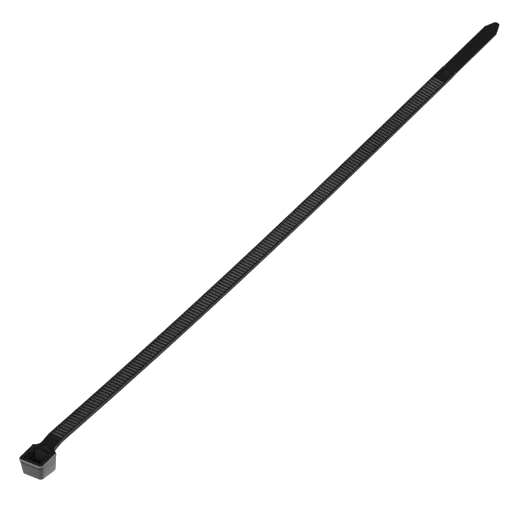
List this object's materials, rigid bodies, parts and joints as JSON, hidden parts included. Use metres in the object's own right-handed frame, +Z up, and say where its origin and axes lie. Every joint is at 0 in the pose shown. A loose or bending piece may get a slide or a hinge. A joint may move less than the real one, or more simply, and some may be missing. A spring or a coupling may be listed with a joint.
{
  "type": "cable tie",
  "caption": "One-piece self-locking cable tie with a toothed strap, smooth edge rails, a thin pointed tail and a square head with a slot and a pawl.",
  "frame": {"origin": "middle of the slot, in the plane of the head's base, which stands on the surface", "axes": "+X from the head along the strap to the tip, +Y across the strap, +Z up, from the smooth side of the strap to its toothed side"},
  "size_m": [0.2519, 0.0078, 0.0067],
  "materials": {
    "black_nylon": "satin black nylon, smooth on the rails and the tail"
  },
  "bodies": {
    "root": {"cable_tie": "black_nylon"}
  },
  "joints": []
}
